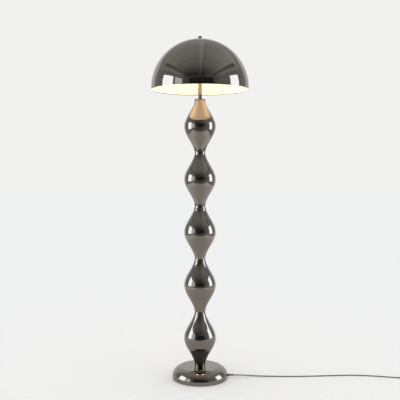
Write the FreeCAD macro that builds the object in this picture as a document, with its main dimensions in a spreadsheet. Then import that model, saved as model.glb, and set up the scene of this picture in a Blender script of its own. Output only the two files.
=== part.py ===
import FreeCAD, Part
import math
import os
import re
import Sketcher
from FreeCAD import Vector, Rotation, Placement

# A mushroom floor lamp: a dome shade over a column of equal bulges, clamped together by one
# threaded pipe, on a weighted round base. Millimetres. The origin is on the floor under the
# column, +Z up, the cord leaves along +X.

doc = FreeCAD.newDocument("mushroom_floor_lamp")

# ---------------------------------------------------------------- driving dimensions

DIMENSIONS = [
    ("base_radius", 121.0, "outside of the base cover"),
    ("base_height", 52.0, "floor to the flat top of the base"),
    ("base_edge_radius", 42.0, "rounding of the base cover's upper edge"),
    ("base_wall", 1.5, "sheet of the base cover"),
    ("pad_inset", 9.0, "edge of the felt inside the edge of the base"),
    ("pad_thickness", 2.0, "felt under the base"),
    ("cover_lift", 1.0, "gap between the floor and the base cover"),
    ("plate_thickness", 3.0, "steel plate that closes the base"),
    ("plate_screw_inset", 12.0, "plate screws inside the edge of the weight"),
    ("plate_screw_radius", 2.0, "M4 screw"),
    ("plate_screw_length", 14.0, "overall length of a plate screw"),
    ("plate_head_radius", 3.6, "head of a plate screw"),
    ("plate_head_height", 1.6, "head of a plate screw"),
    ("weight_inset", 23.0, "edge of the cast-iron weight inside the edge of the base"),
    ("weight_thickness", 26.0, "cast-iron weight outside its boss"),
    ("boss_radius", 18.0, "boss of the weight that carries the column"),
    ("nut_pocket_radius", 14.0, "pocket under the weight for the pipe's nut"),
    ("nut_pocket_depth", 25.0, "pocket under the weight for the pipe's nut"),
    ("cord_slot_width", 12.0, "slot in the weight for the cord"),
    ("cord_slot_height", 13.0, "slot in the weight for the cord"),
    ("pipe_radius", 5.0, "M10 threaded pipe"),
    ("pipe_bore_radius", 4.0, "bore of the threaded pipe"),
    ("pipe_clearance", 0.15, "gap between the pipe and what it passes through"),
    ("pipe_below_nut", 2.5, "threaded pipe below its lower nut"),
    ("nut_across_corners", 16.2, "M10 hexagon nut"),
    ("nut_thickness", 6.0, "M10 hexagon nut"),
    ("washer_radius", 12.0, "washer at the foot of the pipe"),
    ("washer_thickness", 1.5, "washer at the foot of the pipe"),
    ("neck_ring_height", 7.0, "ring between the base and the lowest bulge"),
    ("module_pitch", 232.0, "height of one bulge of the column, neck to neck"),
    ("bulge_radius", 69.5, "widest radius of a bulge"),
    ("neck_radius", 23.4, "narrowest radius, where two bulges meet"),
    ("shell_wall", 1.0, "spun steel of the bulges, measured level"),
    ("disc_height", 16.0, "centring disc inside a neck"),
    ("fit_gap", 0.2, "gap round the centring discs and other loose fits"),
    ("cap_radius", 22.8, "lip on top of the column"),
    ("cap_height", 5.0, "lip on top of the column"),
    ("tube_radius", 9.0, "visible tube between the column and the shade"),
    ("tube_wall", 1.5, "visible tube between the column and the shade"),
    ("tube_length", 82.0, "visible tube, with the part inside the shade"),
    ("coupler_radius", 7.0, "coupler that joins the two lengths of pipe"),
    ("coupler_length", 24.0, "coupler that joins the two lengths of pipe"),
    ("coupler_drop", 27.0, "column top down to the joint of the pipes"),
    ("cluster_radius", 24.0, "small housing that carries the lampholders"),
    ("cluster_height", 46.0, "small housing that carries the lampholders"),
    ("cluster_wall", 2.0, "small housing that carries the lampholders"),
    ("lid_thickness", 3.0, "lid of the small housing"),
    ("lid_spigot", 3.0, "part of the lid inside the small housing"),
    ("nipple_length", 13.5, "short pipe between the housing and a lampholder"),
    ("wire_radius", 0.9, "insulated wire to a lampholder"),
    ("holder_radius", 20.0, "lampholder"),
    ("holder_length", 52.0, "lampholder"),
    ("holder_wall", 2.0, "lampholder"),
    ("holder_back", 6.0, "back wall of the lampholder"),
    ("insert_thickness", 7.0, "ceramic insert of the lampholder"),
    ("screw_shell_radius", 14.4, "threaded brass shell of the lampholder"),
    ("screw_shell_wall", 0.5, "threaded brass shell of the lampholder"),
    ("screw_shell_length", 25.0, "threaded brass shell of the lampholder"),
    ("contact_radius", 3.0, "centre contact of the lampholder"),
    ("contact_height", 2.0, "centre contact of the lampholder"),
    ("bulb_cap_radius", 13.2, "screw cap of the bulb"),
    ("bulb_cap_length", 26.0, "screw cap of the bulb"),
    ("bulb_radius", 29.0, "glass of the bulb"),
    ("bulb_length", 78.0, "glass of the bulb, cap to tip"),
    ("bulb_wall", 0.8, "glass of the bulb"),
    ("dome_above_column", 48.0, "column up to the centre of the dome"),
    ("shade_radius", 215.0, "outside of the dome"),
    ("shade_wall", 1.0, "spun steel of the shade"),
    ("skirt_height", 9.0, "upright band below the dome"),
    ("rod_radius", 4.0, "M8 rod that carries the shade"),
    ("rod_nut_across_corners", 14.4, "M8 hexagon nut"),
    ("rod_nut_thickness", 6.5, "M8 hexagon nut"),
    ("seat_radius", 14.0, "seat under the top of the shade"),
    ("seat_thickness", 5.0, "seat under the top of the shade"),
    ("turn_gap", 0.3, "gap between the shade or the knob and what it turns on"),
    ("finial_radius", 9.5, "knob that holds the shade down"),
    ("finial_foot_radius", 7.5, "foot of the knob"),
    ("finial_waist_radius", 5.6, "waist of the knob"),
    ("finial_height", 12.7, "knob, foot to top"),
    ("cord_radius", 2.5, "round two-core cord"),
    ("gland_height", 11.0, "floor to the middle of the cord where it leaves the base"),
    ("gland_radius", 6.0, "flange of the cord grommet"),
    ("gland_neck_radius", 4.5, "neck of the cord grommet"),
    ("relief_length", 24.0, "tapered sleeve of the cord grommet"),
    ("relief_radius", 3.9, "root of the tapered sleeve"),
    ("switch_length", 76.0, "foot switch"),
    ("switch_width", 44.0, "foot switch"),
    ("switch_height", 22.0, "foot switch"),
    ("switch_wall", 2.0, "foot switch"),
    ("switch_corner", 12.0, "foot switch"),
    ("switch_parting", 9.0, "floor to the joint of the foot switch's two halves"),
    ("button_radius", 13.0, "button of the foot switch"),
    ("button_rise", 6.0, "button above the foot switch"),
    ("button_travel", 3.0, "stroke of the button"),
    ("spring_radius", 5.0, "spring under the button"),
    ("spring_wire_radius", 0.35, "spring under the button"),
    ("button_flange", 1.5, "flange that keeps the button in"),
    ("contacts_length", 44.0, "contact block of the foot switch"),
    ("contacts_width", 20.0, "contact block of the foot switch"),
    ("contacts_height", 6.0, "contact block of the foot switch"),
    ("contact_post_radius", 3.5, "post that stops the button"),
    ("switch_screw_radius", 1.1, "screw that joins the foot switch's halves"),
    ("switch_head_radius", 1.9, "screw that joins the foot switch's halves"),
    ("switch_head_height", 1.3, "screw that joins the foot switch's halves"),
    ("switch_screw_grip", 5.0, "screw in the upper half of the foot switch"),
    ("coil_gap", 0.5, "gap between the turns of the put-away cord"),
    ("coil_radius", 34.0, "outermost turn of the put-away cord"),
    ("plug_length", 36.0, "body of the plug"),
    ("plug_width", 26.0, "body of the plug"),
    ("plug_sleeve_length", 16.0, "tapered sleeve of the plug"),
    ("plug_sleeve_flare", 2.2, "sleeve of the plug outside the cord at its root"),
    ("pin_radius", 2.0, "pin of the plug"),
    ("pin_length", 19.0, "pin of the plug"),
    ("pin_spacing", 18.6, "between the pins' middles"),
]
MODULES = 5
PLATE_SCREWS = 3
NECK_CREASE = 1.05      # the cosine of a bulge is this much longer than the bulge
FLAT_COIL_HALF_TURNS = 5
SPRING_TURNS = 4

sizes = doc.addObject("Spreadsheet::Sheet", "sizes")
for row, (alias, millimetres, meaning) in enumerate(DIMENSIONS, start=1):
    sizes.set(f"A{row}", meaning)
    sizes.set(f"B{row}", str(millimetres))
    sizes.setAlias(f"B{row}", alias)
doc.recompute()

# Heights and places that follow from the dimensions, as texts that the sheet can work out.
PLATE_TOP = "(pad_thickness + plate_thickness)"
WEIGHT_RADIUS = "(base_radius - weight_inset)"
PLATE_SCREW_CIRCLE = f"({WEIGHT_RADIUS} - plate_screw_inset)"
COLUMN_FOOT = "(base_height + neck_ring_height)"
COLUMN_TOP = f"({COLUMN_FOOT} + {MODULES} * module_pitch)"
TUBE_FOOT = f"({COLUMN_TOP} + cap_height)"
CLUSTER_FOOT = f"({TUBE_FOOT} + tube_length)"
CLUSTER_TOP = f"({CLUSTER_FOOT} + cluster_height)"
LID_FOOT = f"({CLUSTER_TOP} - lid_thickness - lid_spigot)"
LAMP_AXIS_HEIGHT = f"({CLUSTER_FOOT} + cluster_height / 2)"
DOME_INSIDE = "(shade_radius - shade_wall)"
DOME_CENTRE = f"({TUBE_FOOT} + dome_above_column)"
APEX_HEIGHT = f"({DOME_CENTRE} + shade_radius)"
SEAT_TOP = f"({DOME_CENTRE} + ({DOME_INSIDE} ^ 2 - seat_radius ^ 2) ^ 0.5 - turn_gap)"
NUT_CEILING = f"({PLATE_TOP} + nut_pocket_depth)"
NUT_FOOT = f"({NUT_CEILING} - washer_thickness - nut_thickness)"
PIPE_FOOT = f"({NUT_FOOT} - pipe_below_nut)"
COIL_LAYER = "(2 * cord_radius + coil_gap)"
PLUG_HEIGHT = f"(2 * (cord_radius + {COIL_LAYER}))"
PIPE_HOLE = "(pipe_radius + pipe_clearance)"
ROD_HOLE = "(rod_radius + pipe_clearance)"
BORE_IN_PLASTIC = "(cord_radius + 0.1)"


def bound(text):
    """The text with each dimension's name pointing into the sheet."""
    return re.sub(r"[a-z_]\w*", lambda word: "sizes." + word.group(0), text)


def number(text):
    """The present value of a text of dimensions."""
    return float(sizes_reader.evalExpression(bound(text)))


sizes_reader = doc.addObject("App::FeaturePython", "sizes_reader")
SUB_PARTS = []


# ---------------------------------------------------------------- drawing helpers

def place(piece, x="0", y="0", height="0", turn=None):
    """Set a sub-part in the lamp: the three texts stay bound to the sheet."""
    if turn is not None:
        piece.Placement = Placement(Vector(0, 0, 0), turn)
    piece.setExpression("Placement.Base.x", bound(x))
    piece.setExpression("Placement.Base.y", bound(y))
    piece.setExpression("Placement.Base.z", bound(height))


def keep(piece, label):
    """Name a finished sub-part and put it on the list of what is exported."""
    piece.Label = label
    SUB_PARTS.append(piece)
    return piece


def new_sketch(body, name, plane_role):
    sketch = body.newObject("Sketcher::SketchObject", name)
    plane = next(item for item in body.Origin.OriginFeatures if item.Role == plane_role)
    sketch.AttachmentSupport = [(plane, "")]
    sketch.MapMode = "FlatFace"
    return sketch


def fix(sketch, kind, first, first_point, second, second_point, text):
    """One sketch dimension, bound to the sheet."""
    constraint = Sketcher.Constraint(kind, first, first_point, second, second_point, number(text))
    index = sketch.addConstraint(constraint)
    sketch.setExpression(f"Constraints[{index}]", bound(text))


def draw_outline(sketch, corners):
    """A closed outline of straight lines; each corner is a pair of bound texts."""
    points = [Vector(number(across), number(along), 0) for across, along in corners]
    count = len(points)
    for index in range(count):
        sketch.addGeometry(Part.LineSegment(points[index], points[(index + 1) % count]), False)
    for index in range(count):
        sketch.addConstraint(Sketcher.Constraint("Coincident", index, 2, (index + 1) % count, 1))
    for index, (across, along) in enumerate(corners):
        fix(sketch, "DistanceX", -1, 1, index, 1, across)
        fix(sketch, "DistanceY", -1, 1, index, 1, along)


def draw_circle(sketch, radius, across="0", along="0"):
    """One circle whose radius and centre are bound texts."""
    centre = Vector(number(across), number(along), 0)
    circle = sketch.addGeometry(Part.Circle(centre, Vector(0, 0, 1), number(radius)), False)
    index = sketch.addConstraint(Sketcher.Constraint("Radius", circle, number(radius)))
    sketch.setExpression(f"Constraints[{index}]", bound(radius))
    fix(sketch, "DistanceX", -1, 1, circle, 3, across)
    fix(sketch, "DistanceY", -1, 1, circle, 3, along)


def turned(name, outline):
    """A lathe-turned piece; its outline is (radius, height) pairs going round."""
    body = doc.addObject("PartDesign::Body", name)
    sketch = new_sketch(body, name + "_outline", "XZ_Plane")
    draw_outline(sketch, outline)
    turn = body.newObject("PartDesign::Revolution", name + "_turn")
    turn.Profile = sketch
    turn.ReferenceAxis = (sketch, ["V_Axis"])
    turn.Angle = 360
    body.Tip = turn
    doc.recompute()
    return body


def ring(inner, outer, low, high):
    """The outline of a plain ring."""
    return [(inner, low), (outer, low), (outer, high), (inner, high)]


def cut_checked(body, pocket):
    """Make a cut the body's last feature and refuse one that removes nothing."""
    before = body.Shape.Volume
    body.Tip = pocket
    doc.recompute()
    if not body.Shape.Volume < before - 0.01:
        raise RuntimeError(f"{pocket.Name} removed nothing")


def cut_profile(body, sketch, name, depth=None, midplane=False):
    """Cut a sketch through the body, or to a bound depth on its solid side."""
    solid = body.Tip
    before = body.Shape.Volume
    pocket = body.newObject("PartDesign::Pocket", name)
    pocket.Profile = sketch
    pocket.Midplane = midplane
    if depth is None:
        pocket.Type = "ThroughAll"
    else:
        pocket.setExpression("Length", bound(depth))
    body.Tip = pocket
    for reversed_side in (False, True):
        pocket.Reversed = reversed_side
        doc.recompute()
        if pocket.isValid() and body.Shape.Volume < before - 0.01:
            return pocket
    raise RuntimeError(f"{name} removed nothing from {solid.Name}")


def circular_edges(shape, radius, height):
    """Names of the round edges of one radius at one height."""
    names = []
    for index, edge in enumerate(shape.Edges, start=1):
        if not isinstance(edge.Curve, Part.Circle):
            continue
        level = edge.Curve.Center.z
        if abs(edge.Curve.Radius - radius) < 1e-4 and abs(level - height) < 1e-4:
            names.append(f"Edge{index}")
    return names


def rounded(body, name, edges, radius):
    """Round some edges of a body by a bound radius."""
    solid = body.Tip
    fillet = body.newObject("PartDesign::Fillet", name)
    fillet.Base = (solid, edges)
    fillet.setExpression("Radius", bound(radius))
    body.Tip = fillet
    doc.recompute()
    return fillet


def shaped(name, make_shape):
    """A piece whose form is a formula: the shape is worked out from the sheet."""
    piece = doc.addObject("Part::Feature", name)
    piece.Shape = make_shape()
    return piece


def hexagon_nut(name, across_corners, thickness, hole):
    """A plain hexagon nut standing on its own origin."""
    prism = doc.addObject("Part::Prism", name + "_block")
    prism.Polygon = 6
    prism.setExpression("Circumradius", bound(f"{across_corners} / 2"))
    prism.setExpression("Height", bound(thickness))
    drill = doc.addObject("Part::Cylinder", name + "_drill")
    drill.setExpression("Radius", bound(hole))
    drill.setExpression("Height", bound(f"{thickness} + 2"))
    drill.setExpression("Placement.Base.z", "-1")
    nut = doc.addObject("Part::Cut", name)
    nut.Base = prism
    nut.Tool = drill
    doc.recompute()
    return nut


def group_of(name, pieces):
    """Like pieces that share one node, each still a solid of its own."""
    group = doc.addObject("Part::Compound", name)
    group.Links = pieces
    return group


OUTWARD = {
    "left": Rotation(Vector(0, 1, 0), -90),
    "right": Rotation(Vector(0, 1, 0), 90),
}
SIDE_SIGN = {"left": "-1 * ", "right": ""}


# ---------------------------------------------------------------- base

def make_base_pad():
    pad = turned("base_pad", ring("0", "base_radius - pad_inset", "0", "pad_thickness"))
    place(pad)
    keep(pad, "base_pad")


def make_base_plate():
    radius = "base_radius - base_wall - fit_gap"
    plate = turned("base_plate", ring("0", radius, "0", "plate_thickness"))
    holes = new_sketch(plate, "plate_holes", "XY_Plane")
    draw_circle(holes, "plate_screw_radius + fit_gap", f"-{PLATE_SCREW_CIRCLE}")
    hole = cut_profile(plate, holes, "plate_hole")
    recesses = new_sketch(plate, "plate_recesses", "XY_Plane")
    draw_circle(recesses, "plate_head_radius + fit_gap", f"-{PLATE_SCREW_CIRCLE}")
    recess = cut_profile(plate, recesses, "plate_recess", "plate_head_height + fit_gap")
    pattern_on(plate, [hole, recess], "plate_hole_circle", PLATE_SCREWS)
    place(plate, height="pad_thickness")
    keep(plate, "base_plate")


def pattern_on(body, features, name, count):
    """Repeat some cuts round the body's axis."""
    pattern = body.newObject("PartDesign::PolarPattern", name)
    pattern.Originals = features
    axis = next(item for item in body.Origin.OriginFeatures if item.Role == "Z_Axis")
    pattern.Axis = (axis, [""])
    pattern.Angle = 360
    pattern.Occurrences = count
    cut_checked(body, pattern)


def make_base_weight():
    boss_top = f"(base_height - base_wall - {PLATE_TOP})"
    weight = turned("base_weight", [
        (PIPE_HOLE, "nut_pocket_depth"),
        ("nut_pocket_radius", "nut_pocket_depth"),
        ("nut_pocket_radius", "0"),
        (WEIGHT_RADIUS, "0"),
        (WEIGHT_RADIUS, "weight_thickness"),
        ("boss_radius", "weight_thickness"),
        ("boss_radius", boss_top),
        (PIPE_HOLE, boss_top),
    ])
    slot = new_sketch(weight, "cord_slot", "XY_Plane")
    draw_outline(slot, [
        ("0", "-cord_slot_width / 2"),
        (f"{WEIGHT_RADIUS} + 1", "-cord_slot_width / 2"),
        (f"{WEIGHT_RADIUS} + 1", "cord_slot_width / 2"),
        ("0", "cord_slot_width / 2"),
    ])
    cut_profile(weight, slot, "cord_slot_cut", "cord_slot_height")
    threads = new_sketch(weight, "screw_threads", "XY_Plane")
    draw_circle(threads, "plate_screw_radius + 0.05", f"-{PLATE_SCREW_CIRCLE}")
    hole = cut_profile(weight, threads, "screw_thread_hole", "plate_screw_length")
    pattern_on(weight, [hole], "screw_thread_circle", PLATE_SCREWS)
    place(weight, height=PLATE_TOP)
    keep(weight, "base_weight")


def make_base_cover():
    cover = doc.addObject("PartDesign::Body", "base_cover")
    disc = new_sketch(cover, "cover_disc", "XY_Plane")
    draw_circle(disc, "base_radius")
    height = "(base_height - cover_lift)"
    blank = cover.newObject("PartDesign::Pad", "cover_blank")
    blank.Profile = disc
    blank.setExpression("Length", bound(height))
    cover.Tip = blank
    doc.recompute()
    edges = circular_edges(blank.Shape, number("base_radius"), number(height))
    rounded(cover, "cover_round_edge", edges, "base_edge_radius")
    solid = cover.Tip
    open_face = [
        f"Face{index}"
        for index, face in enumerate(solid.Shape.Faces, start=1)
        if abs(face.BoundBox.ZMax) < 1e-4
    ]
    shell = cover.newObject("PartDesign::Thickness", "cover_shell")
    shell.Base = (solid, open_face)
    shell.setExpression("Value", bound("base_wall"))
    shell.Reversed = True
    cover.Tip = shell
    doc.recompute()
    middle = new_sketch(cover, "pipe_hole", "XY_Plane")
    draw_circle(middle, PIPE_HOLE)
    cut_profile(cover, middle, "pipe_hole_cut")
    side = new_sketch(cover, "cord_hole", "YZ_Plane")
    draw_circle(side, "gland_neck_radius", "0", "gland_height - cover_lift")
    pocket = cover.newObject("PartDesign::Pocket", "cord_hole_cut")
    pocket.Profile = side
    pocket.setExpression("Length", bound("base_radius + 5"))
    pocket.Reversed = True
    cut_checked(cover, pocket)
    if cover.Shape.Solids[0].CenterOfMass.x > 0:
        raise RuntimeError("the cord hole is on the wrong side")
    place(cover, height="cover_lift")
    keep(cover, "base_cover")


def pan_head_screw(foot, head_radius, head_height, radius, length):
    """A screw standing on its head at foot."""
    head = Part.makeCylinder(head_radius, head_height, foot)
    shank = Part.makeCylinder(radius, length, foot)
    return head.fuse(shank).removeSplitter()


def make_plate_screws():
    """The screws that hold the plate to the weight, heads down in their recesses."""
    def make_shape():
        circle = number(PLATE_SCREW_CIRCLE)
        screws = []
        for index in range(PLATE_SCREWS):
            angle = math.pi + 2 * math.pi * index / PLATE_SCREWS
            foot = Vector(circle * math.cos(angle), circle * math.sin(angle), 0)
            screws.append(pan_head_screw(
                foot,
                number("plate_head_radius"),
                number("plate_head_height"),
                number("plate_screw_radius"),
                number("plate_screw_length"),
            ))
        return Part.makeCompound(screws)

    screws = shaped("plate_screws", make_shape)
    place(screws, height="pad_thickness + fit_gap")
    keep(screws, "plate_screws")


def make_neck_ring():
    """The ring under the lowest bulge, with a spigot up into its neck."""
    spigot = "(neck_radius - shell_wall - fit_gap)"
    ring_body = turned("neck_ring", [
        (PIPE_HOLE, "0"),
        ("neck_radius", "0"),
        ("neck_radius", "neck_ring_height"),
        (spigot, "neck_ring_height"),
        (spigot, "neck_ring_height + disc_height / 2"),
        (PIPE_HOLE, "neck_ring_height + disc_height / 2"),
    ])
    place(ring_body, height="base_height")
    keep(ring_body, "neck_ring")


# ---------------------------------------------------------------- column

def bulge_outline(inset):
    """Outside of one bulge, moved inwards by inset, as points from neck to neck."""
    half = number("module_pitch") / 2
    wide = number("bulge_radius")
    narrow = number("neck_radius")
    cosine_at_neck = math.cos(math.pi / NECK_CREASE)
    points = []
    steps = 12
    for step in range(-steps, steps + 1):
        along = step / steps
        cosine = math.cos(math.pi * along / NECK_CREASE)
        share = (cosine - cosine_at_neck) / (1 - cosine_at_neck)
        points.append(Vector(narrow + (wide - narrow) * share - inset, 0, half * (1 + along)))
    slope = (wide - narrow) / (1 - cosine_at_neck) * math.sin(math.pi / NECK_CREASE)
    rise = slope * math.pi / NECK_CREASE / half
    curve = Part.BSplineCurve()
    curve.interpolate(
        Points=points,
        InitialTangent=Vector(rise, 0, 1),
        FinalTangent=Vector(-rise, 0, 1),
    )
    return curve.toShape()


def bulge_shell():
    """One spun shell: a cosine bulge, open at both necks."""
    outside = bulge_outline(0)
    inside = bulge_outline(number("shell_wall"))
    ends = []
    for first, second in zip(outside.Vertexes, inside.Vertexes):
        ends.append(Part.makeLine(first.Point, second.Point))
    outline = Part.Wire(Part.__sortEdges__([outside, ends[1], inside, ends[0]]))
    return Part.Face(outline).revolve(Vector(0, 0, 0), Vector(0, 0, 1), 360)


def make_bulges():
    for index in range(MODULES):
        name = f"column_bulge_{index + 1}"
        shell = shaped(name, bulge_shell)
        place(shell, height=f"{COLUMN_FOOT} + {index} * module_pitch")
        keep(shell, name)


def make_centring_discs():
    """Discs inside the inner necks; they keep the bulges in line on the pipe."""
    outer = "neck_radius - shell_wall - fit_gap"
    for index in range(1, MODULES):
        name = f"centring_disc_{index}"
        disc = turned(name, ring(PIPE_HOLE, outer, "0", "disc_height"))
        place(disc, height=f"{COLUMN_FOOT} + {index} * module_pitch - disc_height / 2")
        keep(disc, name)


def make_column_cap():
    """The lip on top of the column, with a spigot down into the last neck."""
    spigot = "(neck_radius - shell_wall - fit_gap)"
    cap = turned("column_cap", [
        (PIPE_HOLE, "0"),
        (spigot, "0"),
        (spigot, "disc_height / 2"),
        ("cap_radius", "disc_height / 2"),
        ("cap_radius", "disc_height / 2 + cap_height - 1"),
        ("cap_radius - 1", "disc_height / 2 + cap_height"),
        (PIPE_HOLE, "disc_height / 2 + cap_height"),
    ])
    place(cap, height=f"{COLUMN_TOP} - disc_height / 2")
    keep(cap, "column_cap")


def make_pipes():
    """Two lengths of threaded pipe and the coupler that joins them in the top bulge."""
    joint = f"({COLUMN_TOP} - coupler_drop)"
    lower = turned("lower_pipe", ring(
        "pipe_bore_radius", "pipe_radius", "0", f"{joint} - {PIPE_FOOT}"))
    place(lower, height=PIPE_FOOT)
    keep(lower, "lower_pipe")
    reach = f"({CLUSTER_FOOT} + cluster_wall + nut_thickness + 2 - {joint})"
    upper = turned("upper_pipe", ring("pipe_bore_radius", "pipe_radius", "0", reach))
    place(upper, height=joint)
    keep(upper, "upper_pipe")
    coupler = turned("pipe_coupler", ring(
        "pipe_radius + 0.05", "coupler_radius", "0", "coupler_length"))
    place(coupler, height=f"{joint} - coupler_length / 2")
    keep(coupler, "pipe_coupler")


def make_pipe_nuts():
    """The two nuts that pull the whole column together, and the washer under the lower one."""
    nuts = []
    for name, height in (
        ("nut_in_base", NUT_FOOT),
        ("nut_in_cluster", f"{CLUSTER_FOOT} + cluster_wall"),
    ):
        nut = hexagon_nut(name, "nut_across_corners", "nut_thickness", "pipe_radius + 0.05")
        place(nut, height=height)
        nuts.append(nut)
    keep(group_of("pipe_nuts", nuts), "pipe_nuts")
    washer = turned("base_washer", ring(PIPE_HOLE, "washer_radius", "0", "washer_thickness"))
    place(washer, height=f"{NUT_CEILING} - washer_thickness")
    keep(washer, "base_washer")


def make_upper_tube():
    tube = turned("upper_tube", ring("tube_radius - tube_wall", "tube_radius", "0", "tube_length"))
    place(tube, height=TUBE_FOOT)
    keep(tube, "upper_tube")


# ---------------------------------------------------------------- lampholders

def make_cluster():
    """The small housing inside the shade, and its lid."""
    cup = turned("cluster_cup", [
        (PIPE_HOLE, "0"),
        ("cluster_radius", "0"),
        ("cluster_radius", "cluster_height - lid_thickness"),
        ("cluster_radius - cluster_wall", "cluster_height - lid_thickness"),
        ("cluster_radius - cluster_wall", "cluster_wall"),
        (PIPE_HOLE, "cluster_wall"),
    ])
    sides = new_sketch(cup, "side_holes", "YZ_Plane")
    draw_circle(sides, PIPE_HOLE, "0", "cluster_height / 2")
    cut_profile(cup, sides, "side_holes_cut", midplane=True)
    place(cup, height=CLUSTER_FOOT)
    keep(cup, "cluster_cup")

    plug = "(cluster_radius - cluster_wall - fit_gap)"
    lid = turned("cluster_lid", [
        (ROD_HOLE, "0"),
        (plug, "0"),
        (plug, "lid_spigot"),
        ("cluster_radius", "lid_spigot"),
        ("cluster_radius", "lid_spigot + lid_thickness"),
        (ROD_HOLE, "lid_spigot + lid_thickness"),
    ])
    place(lid, height=LID_FOOT)
    keep(lid, "cluster_lid")


NIPPLE_START = "(cluster_radius - cluster_wall - 5)"
HOLDER_START = "(cluster_radius + fit_gap)"


def make_side_nipples():
    """Two short pipes that carry the lampholders, one node of two solids."""
    def make_shape():
        start = number(NIPPLE_START)
        length = number("nipple_length")
        pipes = []
        for sign in (-1, 1):
            axis = Vector(sign, 0, 0)
            outside = Part.makeCylinder(number("pipe_radius"), length, axis * start, axis)
            bore = Part.makeCylinder(number("pipe_bore_radius"), length, axis * start, axis)
            pipes.append(outside.cut(bore))
        return Part.makeCompound(pipes)

    nipples = shaped("side_nipples", make_shape)
    place(nipples, height=LAMP_AXIS_HEIGHT)
    keep(nipples, "side_nipples")


def make_holder_wires():
    """Two insulated wires to each lampholder through its short pipe, one node."""
    def make_shape():
        radius = number("wire_radius")
        start = 2 * radius
        end = number(f"{HOLDER_START} + holder_back + 1")
        wires = []
        for sign in (-1, 1):
            for offset in (-1.4 * radius, 1.4 * radius):
                foot = Vector(sign * start, offset, 0)
                wires.append(Part.makeCylinder(radius, end - start, foot, Vector(sign, 0, 0)))
        return Part.makeCompound(wires)

    wires = shaped("holder_wires", make_shape)
    place(wires, height=LAMP_AXIS_HEIGHT)
    keep(wires, "holder_wires")


def make_lampholder(side):
    """A lampholder pointing outwards: body, ceramic insert, brass shell and contact."""
    def set_out(piece, start):
        place(piece, x=SIDE_SIGN[side] + f"({start})", height=LAMP_AXIS_HEIGHT, turn=OUTWARD[side])

    inside = "(holder_radius - holder_wall)"
    holder = turned(f"lampholder_{side}", [
        (PIPE_HOLE, "0"),
        ("holder_radius - 4", "0"),
        ("holder_radius", "holder_back + 4"),
        ("holder_radius", "holder_length"),
        (inside, "holder_length"),
        (inside, "holder_back"),
        (PIPE_HOLE, "holder_back"),
    ])
    set_out(holder, HOLDER_START)
    keep(holder, f"lampholder_{side}")

    insert_start = f"{HOLDER_START} + holder_back + 1"
    insert = turned(f"holder_insert_{side}", ring(
        "0", f"{inside} - fit_gap", "0", "insert_thickness"))
    set_out(insert, insert_start)
    keep(insert, f"holder_insert_{side}")

    front = f"{insert_start} + insert_thickness"
    shell = turned(f"screw_shell_{side}", ring(
        "screw_shell_radius - screw_shell_wall", "screw_shell_radius", "0", "screw_shell_length"))
    set_out(shell, front)
    keep(shell, f"screw_shell_{side}")

    contact = turned(f"centre_contact_{side}", ring("0", "contact_radius", "0", "contact_height"))
    set_out(contact, front)
    keep(contact, f"centre_contact_{side}")


BULB_START = f"{HOLDER_START} + holder_back + 1 + insert_thickness + contact_height + fit_gap"


def glass_outline(inset):
    """Profile of the bulb's glass from its neck to its tip, moved inwards by inset."""
    ball = number("bulb_radius")
    neck = number("bulb_cap_radius") - 0.8
    centre = number("bulb_length") - ball
    ball_point = math.radians(52)
    neck_top = Vector(neck - inset, 0, inset)
    straight = Vector(neck - inset, 0, 0.18 * centre)
    shoulder = Vector(
        (ball - inset) * math.cos(ball_point), 0, centre - (ball - inset) * math.sin(ball_point))
    equator = Vector(ball - inset, 0, centre)
    upper = Vector(
        (ball - inset) * math.cos(math.pi / 4), 0, centre + (ball - inset) * math.sin(math.pi / 4))
    tip = Vector(0, 0, centre + ball - inset)
    middle = Vector(
        (ball - inset) * math.cos(ball_point / 2),
        0,
        centre - (ball - inset) * math.sin(ball_point / 2),
    )
    flare = Part.BSplineCurve()
    along_ball = Vector(math.sin(ball_point), 0, math.cos(ball_point))
    flare.interpolate(
        Points=[straight, shoulder], InitialTangent=Vector(0, 0, 22), FinalTangent=along_ball * 22)
    return [
        Part.makeLine(neck_top, straight),
        flare.toShape(),
        Part.Arc(shoulder, middle, equator).toShape(),
        Part.Arc(equator, upper, tip).toShape(),
    ]


def glass_shell():
    """The bulb's glass, closed at the neck, hollow."""
    solids = []
    for inset in (0, number("bulb_wall")):
        edges = glass_outline(inset)
        foot = edges[0].Vertexes[0].Point
        tip = edges[-1].Vertexes[-1].Point
        floor = Part.makeLine(Vector(0, 0, foot.z), foot)
        axis = Part.makeLine(tip, Vector(0, 0, foot.z))
        face = Part.Face(Part.Wire([floor, *edges, axis]))
        solids.append(face.revolve(Vector(0, 0, 0), Vector(0, 0, 1), 360))
    return solids[0].cut(solids[1])


def make_bulb(side):
    """A bulb screwed into its holder: metal cap and glass."""
    cap = turned(f"bulb_cap_{side}", [
        ("0", "0"),
        ("4", "0"),
        ("bulb_cap_radius - 3", "5"),
        ("bulb_cap_radius", "6"),
        ("bulb_cap_radius", "bulb_cap_length"),
        ("0", "bulb_cap_length"),
    ])
    place(cap, x=SIDE_SIGN[side] + f"({BULB_START})", height=LAMP_AXIS_HEIGHT, turn=OUTWARD[side])
    keep(cap, f"bulb_cap_{side}")
    glass = shaped(f"bulb_glass_{side}", glass_shell)
    start = f"({BULB_START} + bulb_cap_length)"
    place(glass, x=SIDE_SIGN[side] + start, height=LAMP_AXIS_HEIGHT, turn=OUTWARD[side])
    keep(glass, f"bulb_glass_{side}")


# ---------------------------------------------------------------- shade

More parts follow.
